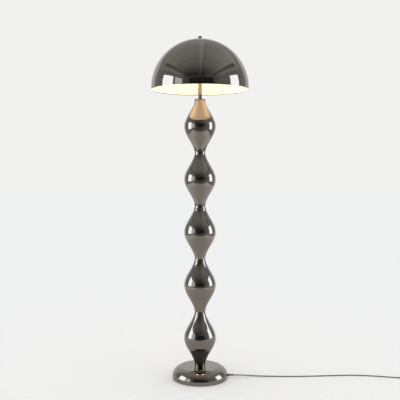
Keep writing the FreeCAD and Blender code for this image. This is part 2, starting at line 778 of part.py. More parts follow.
def make_rod_and_seat():
    """The rod from the lid to the knob, its nuts, and the seat under the shade."""
    start = f"({LID_FOOT} - rod_nut_thickness - 2)"
    rod = turned("shade_rod", ring(
        "0", "rod_radius", "0", f"{APEX_HEIGHT} + turn_gap + finial_height - 5 - {start}"))
    place(rod, height=start)
    keep(rod, "shade_rod")

    seat = turned("shade_seat", [
        (ROD_HOLE, "0"),
        ("seat_radius - 4", "0"),
        ("seat_radius", "seat_thickness - 1.5"),
        ("seat_radius", "seat_thickness"),
        (ROD_HOLE, "seat_thickness"),
    ])
    place(seat, height=f"{SEAT_TOP} - seat_thickness")
    keep(seat, "shade_seat")

    nuts = []
    for name, height in (
        ("nut_below_lid", f"{LID_FOOT} - rod_nut_thickness"),
        ("nut_above_lid", CLUSTER_TOP),
        ("nut_below_seat", f"{SEAT_TOP} - seat_thickness - rod_nut_thickness"),
    ):
        nut = hexagon_nut(
            name, "rod_nut_across_corners", "rod_nut_thickness", "rod_radius + 0.05")
        place(nut, height=height)
        nuts.append(nut)
    keep(group_of("rod_nuts", nuts), "rod_nuts")


def half_ball(name, radius, skirt):
    """A half ball standing on an upright band."""
    ball = doc.addObject("Part::Sphere", name + "_ball")
    ball.setExpression("Radius", bound(radius))
    ball.Angle1 = 0
    ball.Angle2 = 90
    band = doc.addObject("Part::Cylinder", name + "_band")
    band.setExpression("Radius", bound(radius))
    band.setExpression("Height", bound(skirt))
    band.setExpression("Placement.Base.z", bound(f"-({skirt})"))
    both = doc.addObject("Part::Fuse", name)
    both.Base = ball
    both.Tool = band
    return both


def make_shade():
    """The spun dome: an outside and an inside half ball, and the hole for the rod."""
    outside = half_ball("dome_outside", "shade_radius", "skirt_height")
    inside = half_ball("dome_inside", DOME_INSIDE, "skirt_height + 1")
    dome = doc.addObject("Part::Cut", "dome")
    dome.Base = outside
    dome.Tool = inside
    drill = doc.addObject("Part::Cylinder", "rod_drill")
    drill.setExpression("Radius", bound("rod_radius + turn_gap"))
    drill.setExpression("Height", bound("shade_radius + 10"))
    shade = doc.addObject("Part::Cut", "shade")
    shade.Base = dome
    shade.Tool = drill
    doc.recompute()
    place(shade, height=DOME_CENTRE)
    keep(shade, "shade")


def make_finial():
    """The knob on top: foot, waist and domed head, with a blind hole for the rod."""
    hole = "(rod_radius + 0.05)"
    finial = turned("finial_knob", [
        (hole, "0"),
        ("finial_foot_radius", "0"),
        ("finial_foot_radius", "1.8"),
        ("finial_waist_radius", "2.8"),
        ("finial_waist_radius", "4"),
        ("finial_radius", "6"),
        ("finial_radius", "finial_height - 2.6"),
        ("finial_radius - 1.6", "finial_height - 1"),
        ("finial_radius - 4.5", "finial_height"),
        ("0", "finial_height"),
        ("0", "finial_height - 4"),
        (hole, "finial_height - 4"),
    ])
    place(finial, height=f"{APEX_HEIGHT} + turn_gap")
    keep(finial, "finial_knob")


# ---------------------------------------------------------------- cord

LEAD_START = "(base_radius - base_wall - 8)"
SWITCH_MIDDLE = ("(base_radius + 849)", "-15")

# The cord on the floor, chosen by hand: beyond the base's edge, sideways, and how far the cord
# is off the floor there.
FLOOR_ROUTE = [
    (126.0, 9.0, 1.1),
    (196.0, 8.0, 0.0),
    (267.0, 4.0, 0.0),
    (337.0, 6.5, 0.0),
    (407.0, 12.5, 0.0),
    (475.0, 18.0, 0.0),
    (543.0, 22.5, 0.0),
    (611.0, 17.5, 0.0),
    (675.0, 5.5, 0.0),
    (731.0, -10.0, 0.0),
    (767.0, -13.5, 0.3),
]


def route_to_switch():
    """From inside the grommet over the floor to the contacts in the foot switch."""
    edge = number("base_radius")
    gland = number("gland_height")
    lying = number("cord_radius")
    entry = number("switch_parting")
    middle, side = (number(text) for text in SWITCH_MIDDLE)
    route = [(number(LEAD_START), 0, gland), (edge + 60, 0, gland)]
    for beyond, sideways, lift in FLOOR_ROUTE:
        route.append((edge + beyond, sideways, lying + lift))
    route.append((middle - number("switch_length / 2") - 14, side, entry))
    route.append((middle - number("contacts_length / 2"), side, entry))
    return route


def route_to_coil():
    """From the contacts in the foot switch down to the floor, where the coil begins."""
    lying = number("cord_radius")
    entry = number("switch_parting")
    middle, side = (number(text) for text in SWITCH_MIDDLE)
    far_end = middle + number("switch_length / 2")
    return [
        (middle + number("contacts_length / 2"), side, entry),
        (far_end + 16, side, entry),
        (far_end + 44, side, lying),
        (far_end + 72, side, lying),
    ]


def tube_path(route):
    """Straight runs joined by the largest tangent arcs that the runs allow."""
    points = [Vector(*point) for point in route]
    edges = []
    start = points[0]
    radii = []
    for before, corner, after in zip(points, points[1:], points[2:]):
        inward = (before - corner).normalize()
        outward = (after - corner).normalize()
        turn = math.pi - inward.getAngle(outward)
        shorter = min(before.distanceToPoint(corner), after.distanceToPoint(corner))
        cut_back = 0.45 * shorter
        radius = cut_back / math.tan(turn / 2)
        first = corner + inward * cut_back
        last = corner + outward * cut_back
        bisector = (inward + outward).normalize()
        middle = corner + bisector * (radius / math.cos(turn / 2) - radius)
        edges.append(Part.LineSegment(start, first).toShape())
        edges.append(Part.Arc(first, middle, last).toShape())
        radii.append(radius)
        start = last
    edges.append(Part.LineSegment(start, points[-1]).toShape())
    return Part.Wire(edges), radii


def tube_along(wire, radius):
    """A round tube along a wire, checked against section times length."""
    edge = wire.Edges[0]
    start = edge.valueAt(edge.FirstParameter)
    heading = edge.tangentAt(edge.FirstParameter)
    section = Part.Wire(Part.makeCircle(radius, start, heading))
    sweep = Part.BRepOffsetAPI.MakePipeShell(wire)
    sweep.add(section)
    sweep.build()
    sweep.makeSolid()
    tube = sweep.shape()
    expected = math.pi * radius ** 2 * wire.Length
    if abs(tube.Volume / expected - 1) > 0.01:
        raise RuntimeError("the tube's volume is not its section times its length")
    return tube


def make_cord_run(name, route):
    wire, radii = tube_path(route)
    listed = ", ".join(f"{radius:.0f}" for radius in radii)
    print(f"{name}: length {wire.Length:.1f} mm, bend radii {listed} mm")
    run = shaped(name, lambda: tube_along(wire, number("cord_radius")))
    place(run)
    keep(run, name)


def arc_leaving(start, heading, end):
    """The arc that leaves start along heading and passes through end, and its last heading."""
    chord = end - start
    along = Vector(chord).normalize()
    sideways = heading - along * heading.dot(along)
    angle = heading.getAngle(chord)
    sagitta = chord.Length / 2 * math.tan(angle / 2)
    middle = start + chord * 0.5 + Vector(sideways).normalize() * sagitta
    return Part.Arc(start, middle, end), along * (2 * heading.dot(along)) - heading


def biarc(start, heading, end, last_heading):
    """Two tangent arcs that join two places with the headings given there."""
    gap = end - start
    both = heading + last_heading
    spread = 2 * (1 - heading.dot(last_heading))
    reach = (-gap.dot(both) + math.sqrt(gap.dot(both) ** 2 + spread * gap.dot(gap))) / spread
    joint = (start + heading * reach + end - last_heading * reach) * 0.5
    first, joint_heading = arc_leaving(start, heading, joint)
    second, _ = arc_leaving(joint, joint_heading, end)
    return [first, second]


def coil_path():
    """The put-away cord: in along the floor, up one layer, and out again on top."""
    layer = number(COIL_LAYER)
    tail = 2 * number("cord_radius")
    start = Vector(*route_to_coil()[-1])
    here = start + Vector(tail, 0, 0)
    edges = [Part.LineSegment(start, here).toShape()]
    radius = number("coil_radius")
    heading = Vector(1, 0, 0)
    up = Vector(0, 0, 1)

    def half_turn(here, heading, radius, climb=0.0):
        side = up.cross(heading)
        end = here + side * (2 * radius) + up * climb
        return end, [arc.toShape() for arc in biarc(here, heading, end, heading * -1)]

    for _ in range(FLAT_COIL_HALF_TURNS):
        here, arcs = half_turn(here, heading, radius)
        edges += arcs
        heading = heading * -1
        radius -= layer / 2
    here, arcs = half_turn(here, heading, radius, climb=layer)
    edges += arcs
    heading = heading * -1
    for _ in range(FLAT_COIL_HALF_TURNS):
        radius += layer / 2
        here, arcs = half_turn(here, heading, radius)
        edges += arcs
        heading = heading * -1
    end = here + heading * tail
    edges.append(Part.LineSegment(here, end).toShape())
    return Part.Wire(edges), end, heading


def least_gap(wire, radius):
    """Least distance between stretches of the tube that aren't neighbours along it."""
    points = wire.discretize(Distance=2.0)
    nearest = 1e9
    skip = int(math.pi * radius * 4)
    for index, point in enumerate(points):
        for other in points[index + skip:]:
            nearest = min(nearest, point.distanceToPoint(other))
    return nearest - 2 * radius


def make_coil():
    wire, end, heading = coil_path()
    gap = least_gap(wire, number("cord_radius"))
    print(f"cord_coil: length {wire.Length:.1f} mm, least gap to itself {gap:.2f} mm")
    if gap <= 0.4:
        raise RuntimeError("the coil's turns are too close")
    coil = shaped("cord_coil", lambda: tube_along(wire, number("cord_radius")))
    place(coil)
    keep(coil, "cord_coil")
    return end, heading


def make_inner_lead():
    """The same cord inside the lamp: through the slot in the weight and up the pipe."""
    height = number("gland_height")
    bend = number(PIPE_FOOT) + 5 - height
    top = number(f"{CLUSTER_FOOT} + cluster_wall + nut_thickness + 8")

    def make_shape():
        start = Vector(number(LEAD_START), 0, height)
        foot = Vector(bend, 0, height)
        middle = Vector(bend * (1 - math.sqrt(0.5)), 0, height + bend * (1 - math.sqrt(0.5)))
        rise = Vector(0, 0, height + bend)
        wire = Part.Wire([
            Part.LineSegment(start, foot).toShape(),
            Part.Arc(foot, middle, rise).toShape(),
            Part.LineSegment(rise, Vector(0, 0, top)).toShape(),
        ])
        return tube_along(wire, number("cord_radius"))

    lead = shaped("inner_lead", make_shape)
    place(lead)
    keep(lead, "inner_lead")


def make_grommet():
    """The dark grommet in the base's side with its tapered sleeve, along +X."""
    wall_outside = "8 + base_wall"
    gland = turned("cord_grommet", [
        (BORE_IN_PLASTIC, "5"),
        ("gland_radius", "5"),
        ("gland_radius", "7"),
        ("gland_neck_radius - 0.1", "7"),
        ("gland_neck_radius - 0.1", f"{wall_outside} + 0.3"),
        ("gland_radius", f"{wall_outside} + 0.3"),
        ("gland_radius", f"{wall_outside} + 2"),
        ("relief_radius", f"{wall_outside} + 3"),
        ("cord_radius + 0.5", f"{wall_outside} + 3 + relief_length"),
        (BORE_IN_PLASTIC, f"{wall_outside} + 3 + relief_length"),
    ])
    place(gland, x=LEAD_START, height="gland_height", turn=OUTWARD["right"])
    keep(gland, "cord_grommet")


# ---------------------------------------------------------------- plug and foot switch

def rounded_block(name, length, width, height, corner):
    """A block lying along X, centred, with its upright corners rounded."""
    body = doc.addObject("PartDesign::Body", name)
    plan = new_sketch(body, name + "_plan", "XY_Plane")
    draw_outline(plan, [
        (f"-({length}) / 2", f"-({width}) / 2"),
        (f"({length}) / 2", f"-({width}) / 2"),
        (f"({length}) / 2", f"({width}) / 2"),
        (f"-({length}) / 2", f"({width}) / 2"),
    ])
    block = body.newObject("PartDesign::Pad", name + "_block")
    block.Profile = plan
    block.setExpression("Length", bound(height))
    body.Tip = block
    doc.recompute()
    uprights = [
        f"Edge{index}"
        for index, edge in enumerate(block.Shape.Edges, start=1)
        if edge.BoundBox.ZLength > number(height) - 1e-4
    ]
    rounded(body, name + "_corners", uprights, corner)
    return body


def top_edges(shape):
    """Names of the edges round the top face."""
    top = shape.BoundBox.ZMax
    return [
        f"Edge{index}"
        for index, edge in enumerate(shape.Edges, start=1)
        if edge.BoundBox.ZMin > top - 1e-4
    ]


def make_plug(end, heading):
    """A small two-pin plug at the end of the cord, lying flat on the floor."""
    facing = math.degrees(math.atan2(heading.y, heading.x))
    sleeve = turned("plug_sleeve", [
        ("0", "0"),
        ("cord_radius + 0.5", "0"),
        ("cord_radius + plug_sleeve_flare", "plug_sleeve_length"),
        ("0", "plug_sleeve_length"),
    ])
    sleeve.Placement = Placement(end, Rotation(Vector(0, 1, 0), 90 if heading.x > 0 else -90))
    keep(sleeve, "plug_sleeve")
    body = rounded_block("plug_body", "plug_length", "plug_width", PLUG_HEIGHT, "5")
    rounded(body, "plug_top_edge", top_edges(body.Tip.Shape), "3")
    reach = number("plug_sleeve_length + plug_length / 2")
    middle = end + heading * reach
    body.Placement = Placement(Vector(middle.x, middle.y, 0), Rotation(Vector(0, 0, 1), facing))
    keep(body, "plug_body")

    def make_shape():
        pins = []
        front = end + heading * number("plug_sleeve_length + plug_length")
        across = Vector(0, 0, 1).cross(heading) * (number("pin_spacing") / 2)
        for sign in (-1, 1):
            foot = front + across * sign
            foot.z = end.z
            pins.append(Part.makeCylinder(
                number("pin_radius"), number("pin_length"), foot, heading))
        return Part.makeCompound(pins)

    pins = shaped("plug_pins", make_shape)
    place(pins)
    keep(pins, "plug_pins")


SCREW_ALONG = "(switch_length / 2 - switch_corner / 2)"
SCREW_ACROSS = "(switch_width / 2 - switch_corner / 2)"
BUTTON_FOOT = "(switch_height - switch_wall - turn_gap - button_flange)"


def corner_holes(body, name, radius, depth=None):
    """Four equal holes at the screws' places in one half of the foot switch."""
    sketch = new_sketch(body, name, "XY_Plane")
    for along in ("-1 * ", ""):
        for across in ("-1 * ", ""):
            draw_circle(sketch, radius, along + SCREW_ALONG, across + SCREW_ACROSS)
    cut_profile(body, sketch, name + "_cut", depth)


def hollow(body, name, low, depth):
    """The room inside one half of the foot switch; the corners stay solid for the screws."""
    along = "(switch_length / 2 - switch_wall)"
    across = "(switch_width / 2 - switch_wall)"
    corner = "(switch_corner + 1)"
    plan = new_sketch(body, name, "XY_Plane")
    plan.setExpression("AttachmentOffset.Base.z", bound(low))
    draw_outline(plan, [
        (f"-{along}", f"-{across} + {corner}"),
        (f"-{along} + {corner}", f"-{across}"),
        (f"{along} - {corner}", f"-{across}"),
        (f"{along}", f"-{across} + {corner}"),
        (f"{along}", f"{across} - {corner}"),
        (f"{along} - {corner}", f"{across}"),
        (f"-{along} + {corner}", f"{across}"),
        (f"-{along}", f"{across} - {corner}"),
    ])
    cut_profile(body, plan, name + "_cut", depth)


def cord_bore(body, name, height):
    """The cord's way through both ends of one half of the foot switch."""
    side = new_sketch(body, name, "YZ_Plane")
    draw_circle(side, BORE_IN_PLASTIC, "0", height)
    cut_profile(body, side, name + "_cut", midplane=True)


def make_switch_halves():
    tray = rounded_block(
        "switch_tray", "switch_length", "switch_width", "switch_parting", "switch_corner")
    hollow(tray, "tray_hollow", "switch_parting", "switch_parting - switch_wall")
    cord_bore(tray, "tray_cord_bore", "switch_parting")
    corner_holes(tray, "tray_screw_holes", "switch_screw_radius + fit_gap")
    corner_holes(
        tray, "tray_head_recesses", "switch_head_radius + fit_gap", "switch_head_height + fit_gap")
    place(tray, *SWITCH_MIDDLE)
    keep(tray, "switch_tray")

    rise = "(switch_height - switch_parting)"
    cover = rounded_block("switch_cover", "switch_length", "switch_width", rise, "switch_corner")
    rounded(cover, "switch_cover_edge", top_edges(cover.Tip.Shape), "4")
    hollow(cover, "cover_hollow", "0", f"{rise} - switch_wall")
    cord_bore(cover, "cover_cord_bore", "0")
    hole = new_sketch(cover, "button_hole", "XY_Plane")
    draw_circle(hole, "button_radius + turn_gap")
    cut_profile(cover, hole, "button_hole_cut")
    corner_holes(
        cover, "cover_thread_holes", "switch_screw_radius + 0.05", "switch_screw_grip + 0.5")
    place(cover, *SWITCH_MIDDLE, "switch_parting")
    keep(cover, "switch_cover")


def make_switch_button():
    rim = "button_flange + switch_wall + turn_gap + button_rise"
    button = turned("switch_button", [
        ("0", "0"),
        ("button_radius + button_flange", "0"),
        ("button_radius + button_flange", "button_flange"),
        ("button_radius", "button_flange"),
        ("button_radius", f"{rim} - 1.5"),
        ("button_radius - 2", rim),
        ("0", rim),
    ])
    place(button, *SWITCH_MIDDLE, BUTTON_FOOT)
    keep(button, "switch_button")


def make_switch_contacts():
    """The contact block; its post stops the button at the end of its stroke."""
    block = rounded_block(
        "switch_contacts", "contacts_length", "contacts_width", "contacts_height", "2")
    plan = new_sketch(block, "contact_post", "XY_Plane")
    draw_circle(plan, "contact_post_radius")
    post = block.newObject("PartDesign::Pad", "contact_post_pad")
    post.Profile = plan
    post.setExpression("Length", bound(f"{BUTTON_FOOT} - button_travel - turn_gap - switch_wall"))
    block.Tip = post
    doc.recompute()
    place(block, *SWITCH_MIDDLE, "switch_wall")
    keep(block, "switch_contacts")


def make_switch_spring():
    """The spring between the contact block and the button."""
    foot = "(switch_wall + contacts_height + 0.1)"
    wire_radius = number("spring_wire_radius")
    rise = number(f"{BUTTON_FOOT} - {foot} - 0.1") - 2 * wire_radius

    def make_shape():
        helix = Part.makeHelix(rise / SPRING_TURNS, rise, number("spring_radius"))
        helix.translate(Vector(0, 0, wire_radius))
        edge = helix.Edges[0]
        start = edge.valueAt(edge.FirstParameter)
        heading = edge.tangentAt(edge.FirstParameter)
        section = Part.Wire(Part.makeCircle(wire_radius, start, heading))
        return Part.Wire(helix.Edges).makePipeShell([section], True, True)

    spring = shaped("switch_spring", make_shape)
    place(spring, *SWITCH_MIDDLE, foot)
    keep(spring, "switch_spring")


def make_switch_screws():
    """Four screws from below through the tray's corners into the cover's."""
    def make_shape():
        along = number(SCREW_ALONG)
        across = number(SCREW_ACROSS)
        length = number("switch_parting + switch_screw_grip - fit_gap")
        screws = []
        for sign_x in (-1, 1):
            for sign_y in (-1, 1):
                screws.append(pan_head_screw(
                    Vector(sign_x * along, sign_y * across, 0),
                    number("switch_head_radius"),
                    number("switch_head_height"),
                    number("switch_screw_radius"),
                    length,
                ))
        return Part.makeCompound(screws)

    screws = shaped("switch_screws", make_shape)
    place(screws, *SWITCH_MIDDLE, "fit_gap")
    keep(screws, "switch_screws")


def make_foot_switch():
    """The foot switch on the cord: two half shells, button, contacts, spring and screws."""
    make_switch_halves()
    make_switch_button()
    make_switch_contacts()
    make_switch_spring()
    make_switch_screws()


# ---------------------------------------------------------------- the whole lamp

def build_lamp():
    make_base_pad()
    make_base_plate()
    make_base_weight()
    make_base_cover()
    make_plate_screws()
    make_pipe_nuts()
    make_neck_ring()
    make_bulges()
    make_centring_discs()
    make_column_cap()
    make_pipes()
    make_upper_tube()
    make_cluster()
    make_side_nipples()
    make_holder_wires()
    for side in ("left", "right"):
        make_lampholder(side)
        make_bulb(side)
    make_rod_and_seat()
    make_shade()
    make_finial()
    make_inner_lead()
    make_grommet()
    make_cord_run("cord_run", route_to_switch())
    make_foot_switch()
    make_cord_run("cord_lead", route_to_coil())
    end, heading = make_coil()
    make_plug(end, heading)


def check_and_export():
    """Refuse a failed object or an empty solid, then write one file for each sub-part."""
    doc.recompute()
    for item in doc.Objects:
        if "Invalid" in item.State or "Error" in item.State:
            raise RuntimeError(f"{item.Label} failed: {item.State}")
    for piece in SUB_PARTS:
        if piece.Shape.isNull() or not piece.Shape.isValid() or not piece.Shape.Solids:
            raise RuntimeError(f"{piece.Label} has no valid solid")
    os.makedirs("parts", exist_ok=True)
    for piece in SUB_PARTS:
        piece.Shape.exportStep(os.path.join("parts", piece.Label + ".step"))
    print(f"{len(SUB_PARTS)} sub-parts written")


build_lamp()
check_and_export()
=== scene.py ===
# %% [markdown]
# # A mushroom floor lamp in dark chrome
#
# The lamp's solids were drawn in CAD, and this lesson dresses them: materials, the cord, the room
# that the mirror metal reflects, the floor and the camera. The CAD pieces stay where they are and
# keep their shapes. Everything is in metres, with the origin on the floor under the column and
# +Z up. Each step first says what the real thing is and how it could be made.

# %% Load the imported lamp
import math

import bpy
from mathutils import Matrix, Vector


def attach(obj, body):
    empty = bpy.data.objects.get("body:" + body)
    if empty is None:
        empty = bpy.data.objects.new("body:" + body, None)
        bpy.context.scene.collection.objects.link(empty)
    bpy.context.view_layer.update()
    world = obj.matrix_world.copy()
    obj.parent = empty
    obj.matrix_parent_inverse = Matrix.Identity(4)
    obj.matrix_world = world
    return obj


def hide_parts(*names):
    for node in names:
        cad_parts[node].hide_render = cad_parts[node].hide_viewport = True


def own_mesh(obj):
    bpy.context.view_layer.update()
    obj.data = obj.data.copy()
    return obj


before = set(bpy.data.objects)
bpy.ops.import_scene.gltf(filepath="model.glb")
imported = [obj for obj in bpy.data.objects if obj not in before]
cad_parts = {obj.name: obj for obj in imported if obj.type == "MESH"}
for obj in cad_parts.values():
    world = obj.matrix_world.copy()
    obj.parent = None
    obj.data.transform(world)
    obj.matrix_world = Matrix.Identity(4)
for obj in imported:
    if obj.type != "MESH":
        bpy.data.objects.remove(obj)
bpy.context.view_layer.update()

# %% [markdown]
# ## The camera
#
# The picture was taken level, from a little under three metres away, with the horizon above the
# middle of the frame. A tilted camera would make the column lean, so the camera stays level and
# the frame is shifted down instead. The figures were fitted to the outlines of dome and bulges.

# %% Camera
CAMERA_PLACE = (0.0, -2.8134, 0.9223)
LENS_MM = 57.6
SENSOR_MM = 36.0
HORIZON_ROW = 167.56
FRAME_ROWS = 400

camera_data = bpy.data.cameras.new("camera")
camera_data.lens = LENS_MM
camera_data.sensor_width = SENSOR_MM
camera_data.shift_y = (HORIZON_ROW - FRAME_ROWS / 2) / FRAME_ROWS
camera = bpy.data.objects.new("camera", camera_data)
camera.location = CAMERA_PLACE
camera.rotation_euler = (math.radians(90), 0, 0)
bpy.context.scene.collection.objects.link(camera)
bpy.context.scene.camera = camera
print("camera shift", round(camera_data.shift_y, 4))

# %% [markdown]
# ## The cord
#
# A round two-core cord of 5 mm leaves the base, lies on the floor in slow bends and runs through a
# foot switch. The photograph shows only its first 75 cm, so the rest is wound up beyond the edge of
# the picture, in two layers of a coil that ends in the plug. A curve with a round bevel is the
# simplest way to make a cord. One open NURBS spline of order 3 takes the listed points of the
# route as its control points and rounds them as a real cord would lie.

# %% The route on the floor
CORD_RADIUS = 0.0025
BASE_EDGE = 0.121
GLAND_HEIGHT = 0.011
SWITCH_ENTRY_HEIGHT = 0.009
SWITCH_BEYOND_BASE = 0.849
SWITCH_MIDDLE = BASE_EDGE + SWITCH_BEYOND_BASE
SWITCH_SIDE = -0.015
SWITCH_HALF = 0.038
CONTACTS_HALF = 0.022

# Beyond the base's edge, sideways, and how far the cord is off the floor.
FLOOR_ROUTE = [
    (0.126, 0.0090, 0.0011),
    (0.196, 0.0080, 0.0),
    (0.267, 0.0040, 0.0),
    (0.337, 0.0065, 0.0),
    (0.407, 0.0125, 0.0),
    (0.475, 0.0180, 0.0),
    (0.543, 0.0225, 0.0),
    (0.611, 0.0175, 0.0),
    (0.675, 0.0055, 0.0),
    (0.731, -0.0100, 0.0),
    (0.767, -0.0135, 0.0003),
]

cord_points = [(BASE_EDGE - 0.0095, 0, GLAND_HEIGHT), (BASE_EDGE + 0.060, 0, GLAND_HEIGHT)]
for beyond, sideways, lift in FLOOR_ROUTE:
    cord_points.append((BASE_EDGE + beyond, sideways, CORD_RADIUS + lift))
for along in (-SWITCH_HALF - 0.014, -CONTACTS_HALF, CONTACTS_HALF, SWITCH_HALF + 0.016):
    cord_points.append((SWITCH_MIDDLE + along, SWITCH_SIDE, SWITCH_ENTRY_HEIGHT))
for along in (SWITCH_HALF + 0.044, SWITCH_HALF + 0.072):
    cord_points.append((SWITCH_MIDDLE + along, SWITCH_SIDE, CORD_RADIUS))
print("points on the route:", len(cord_points))

# %% The turns of the coil
COIL_LAYER = 0.0055
COIL_OUTSIDE = 0.034
FLAT_HALF_TURNS = 5
POINTS_PER_HALF_TURN = 8
TAIL = 2 * CORD_RADIUS

# Control points stand a little outside the circle that a spline of order 3 draws between them.
step = math.pi / POINTS_PER_HALF_TURN
STAND_OUT = 1 / math.cos(step / 2)


def half_turn(start_x, start_y, upwards, radius, height, climb):
    """Control points of half a turn that starts at the bottom or the top of the coil."""
    centre_y = start_y + (radius if upwards else -radius)
    first_angle = -math.pi / 2 if upwards else math.pi / 2
    points = []
    for index in range(POINTS_PER_HALF_TURN):
        share = (index + 0.5) / POINTS_PER_HALF_TURN
        angle = first_angle + math.pi * share
        points.append((
            start_x + radius * STAND_OUT * math.cos(angle),
            centre_y + radius * STAND_OUT * math.sin(angle),
            height + climb * share,
        ))
    end_y = start_y + (2 * radius if upwards else -2 * radius)
    return points, end_y


coil_x = cord_points[-1][0] + TAIL
coil_y = SWITCH_SIDE
height = CORD_RADIUS
going_up = True
radii = [COIL_OUTSIDE - COIL_LAYER / 2 * turn for turn in range(FLAT_HALF_TURNS)]
climbing = COIL_OUTSIDE - COIL_LAYER / 2 * FLAT_HALF_TURNS
for radius, climb in (
    [(radius, 0.0) for radius in radii]
    + [(climbing, COIL_LAYER)]
    + [(radius, 0.0) for radius in reversed(radii)]
):
    points, coil_y = half_turn(coil_x, coil_y, going_up, radius, height, climb)
    cord_points += points
    height += climb
    going_up = not going_up
cord_points += [(coil_x, coil_y, height), (coil_x - TAIL, coil_y, height)]
print("points with the coil:", len(cord_points))

# %% The cord itself
# A point's radius scales the bevel, and Blender also adds it to the curve's box. So the points
# carry the cord's radius and the bevel is one metre, which keeps the box as small as the cord.
WHOLE_METRE_BEVEL = 1.0

cord_curve = bpy.data.curves.new("cord", "CURVE")
cord_curve.dimensions = "3D"
cord_curve.bevel_depth = WHOLE_METRE_BEVEL
cord_curve.bevel_resolution = 6
cord_curve.use_fill_caps = True
spline = cord_curve.splines.new("NURBS")
spline.points.add(len(cord_points) - 1)
for point, place in zip(spline.points, cord_points):
    point.co = (*place, 1.0)
    point.radius = CORD_RADIUS
spline.order_u = 3
spline.use_endpoint_u = True
spline.resolution_u = 6
cord = bpy.data.objects.new("mains_cord", cord_curve)
bpy.context.scene.collection.objects.link(cord)
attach(cord, "lamp")
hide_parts("cord_run", "cord_lead", "cord_coil")

# %% [markdown]
# ## Two small helpers for materials
#
# Colours are written as the sRGB hex values a designer would read off a screen. Blender's shaders
# work in linear light, so one function turns one into the other. A second function adds a shader
# node with its settings and its inputs in one call, which keeps each material short enough to read.

# %% Helpers for materials
def linear(hex_colour, alpha=1.0):
    """An sRGB hex colour such as '#8a8278' as linear red, green, blue and alpha."""
    channels = []
    for start in (1, 3, 5):
        value = int(hex_colour[start:start + 2], 16) / 255
        channels.append(value / 12.92 if value <= 0.04045 else ((value + 0.055) / 1.055) ** 2.4)
    return (*channels, alpha)


def add(tree, kind, inputs=None, **settings):
    """Add a node: settings are its own options, inputs are values or the sockets to link."""
    made = tree.nodes.new(kind)
    for name, value in settings.items():
        setattr(made, name, value)
    for name, value in (inputs or {}).items():
        if isinstance(value, bpy.types.NodeSocket):
            tree.links.new(value, made.inputs[name])
        else:
            made.inputs[name].default_value = value
    return made


def new_material(name):
    """A material with one Principled shader, and the piece's own coordinates in metres."""
    material = bpy.data.materials.new(name)
    material.use_nodes = True
    tree = material.node_tree
    shader = tree.nodes["Principled BSDF"]
    place = add(tree, "ShaderNodeTexCoord").outputs["Object"]
    return material, tree, shader, place


def between(tree, share, low, high):
    """A number that goes from low to high as share goes from 0 to 1."""
    ramp = add(tree, "ShaderNodeMapRange", {"Value": share, "To Min": low, "To Max": high})
    return ramp.outputs["Result"]


def mix_colours(tree, share, first, second):
    made = add(tree, "ShaderNodeMix", data_type="RGBA")
    for index, value in ((0, share), (6, first), (7, second)):
        if isinstance(value, bpy.types.NodeSocket):
            tree.links.new(value, made.inputs[index])
        else:
            made.inputs[index].default_value = value
    return made.outputs[2]


def grain(tree, place, size, detail=3.0):
    """Noise whose lumps are about size metres across."""
    noise = add(tree, "ShaderNodeTexNoise", {"Vector": place, "Scale": 1 / size, "Detail": detail})
    return noise.outputs["Fac"]


def rings(tree, place, spacing, axis="Z"):
    """Grooves across an axis, spacing metres apart; a wave repeats every 2 pi / 20 of its scale."""
    wave = add(
        tree, "ShaderNodeTexWave", {"Vector": place, "Scale": 2 * math.pi / 20 / spacing},
        wave_type="BANDS", bands_direction=axis)
    return wave.outputs["Fac"]


def bump(tree, shader, height, depth, strength=1.0):
    """Raise the surface by up to depth metres where height is 1."""
    made = add(tree, "ShaderNodeBump", {"Height": height, "Distance": depth, "Strength": strength})
    tree.links.new(made.outputs["Normal"], shader.inputs["Normal"])


def set_inputs(shader, **values):
    for name, value in values.items():
        shader.inputs[name.replace("_", " ")].default_value = value


print("helpers ready")

# %% [markdown]
# ## Dark chrome
#
# The column, base cover, tube, cap and knob are spun or turned steel, polished and plated with black
# nickel: a true mirror that gives back only a quarter of the light, a little warm. Fresnel makes it
# brighter at the edges by itself. A perfect mirror looks like computer graphics, so the roughness
# drifts where a cloth has left a haze, and the spinning tool's rings are there as the faintest bump.

# %% Dark chrome
DARK_CHROME = linear("#858079")
HAZE_SIZE = 0.035
TOOL_RING_SPACING = 0.0009


def haze(tree, place, clean, hazy):
    """Roughness that drifts between clean and hazy in patches a few centimetres wide."""
    patches = add(tree, "ShaderNodeMapRange", {
        "Value": grain(tree, place, HAZE_SIZE), "From Min": 0.45, "From Max": 0.75,
        "To Min": clean, "To Max": hazy})
    return patches.outputs["Result"]


def dark_chrome():
    material, tree, shader, place = new_material("dark_chrome_plate")
    set_inputs(shader, Base_Color=DARK_CHROME, Metallic=1.0)
    tree.links.new(haze(tree, place, 0.05, 0.09), shader.inputs["Roughness"])
    bump(tree, shader, rings(tree, place, TOOL_RING_SPACING), 0.0000004)
    return material


chrome = dark_chrome()
print("made", chrome.name)

# %% [markdown]
# ## The shade: chrome outside, enamel inside
#
# The shade is one spun sheet, so both finishes are on one piece. The distance from the middle of
# the dome tells them apart: what lies nearer than the middle of the sheet is the inside. Below the
# dome is a short upright band, so there the distance is measured from the axis. The enamel is warm
# white, with the slight orange peel of sprayed paint.

# %% The shade's two finishes
DOME_CENTRE = 1.272
DOME_RADIUS = 0.215
SHEET = 0.001


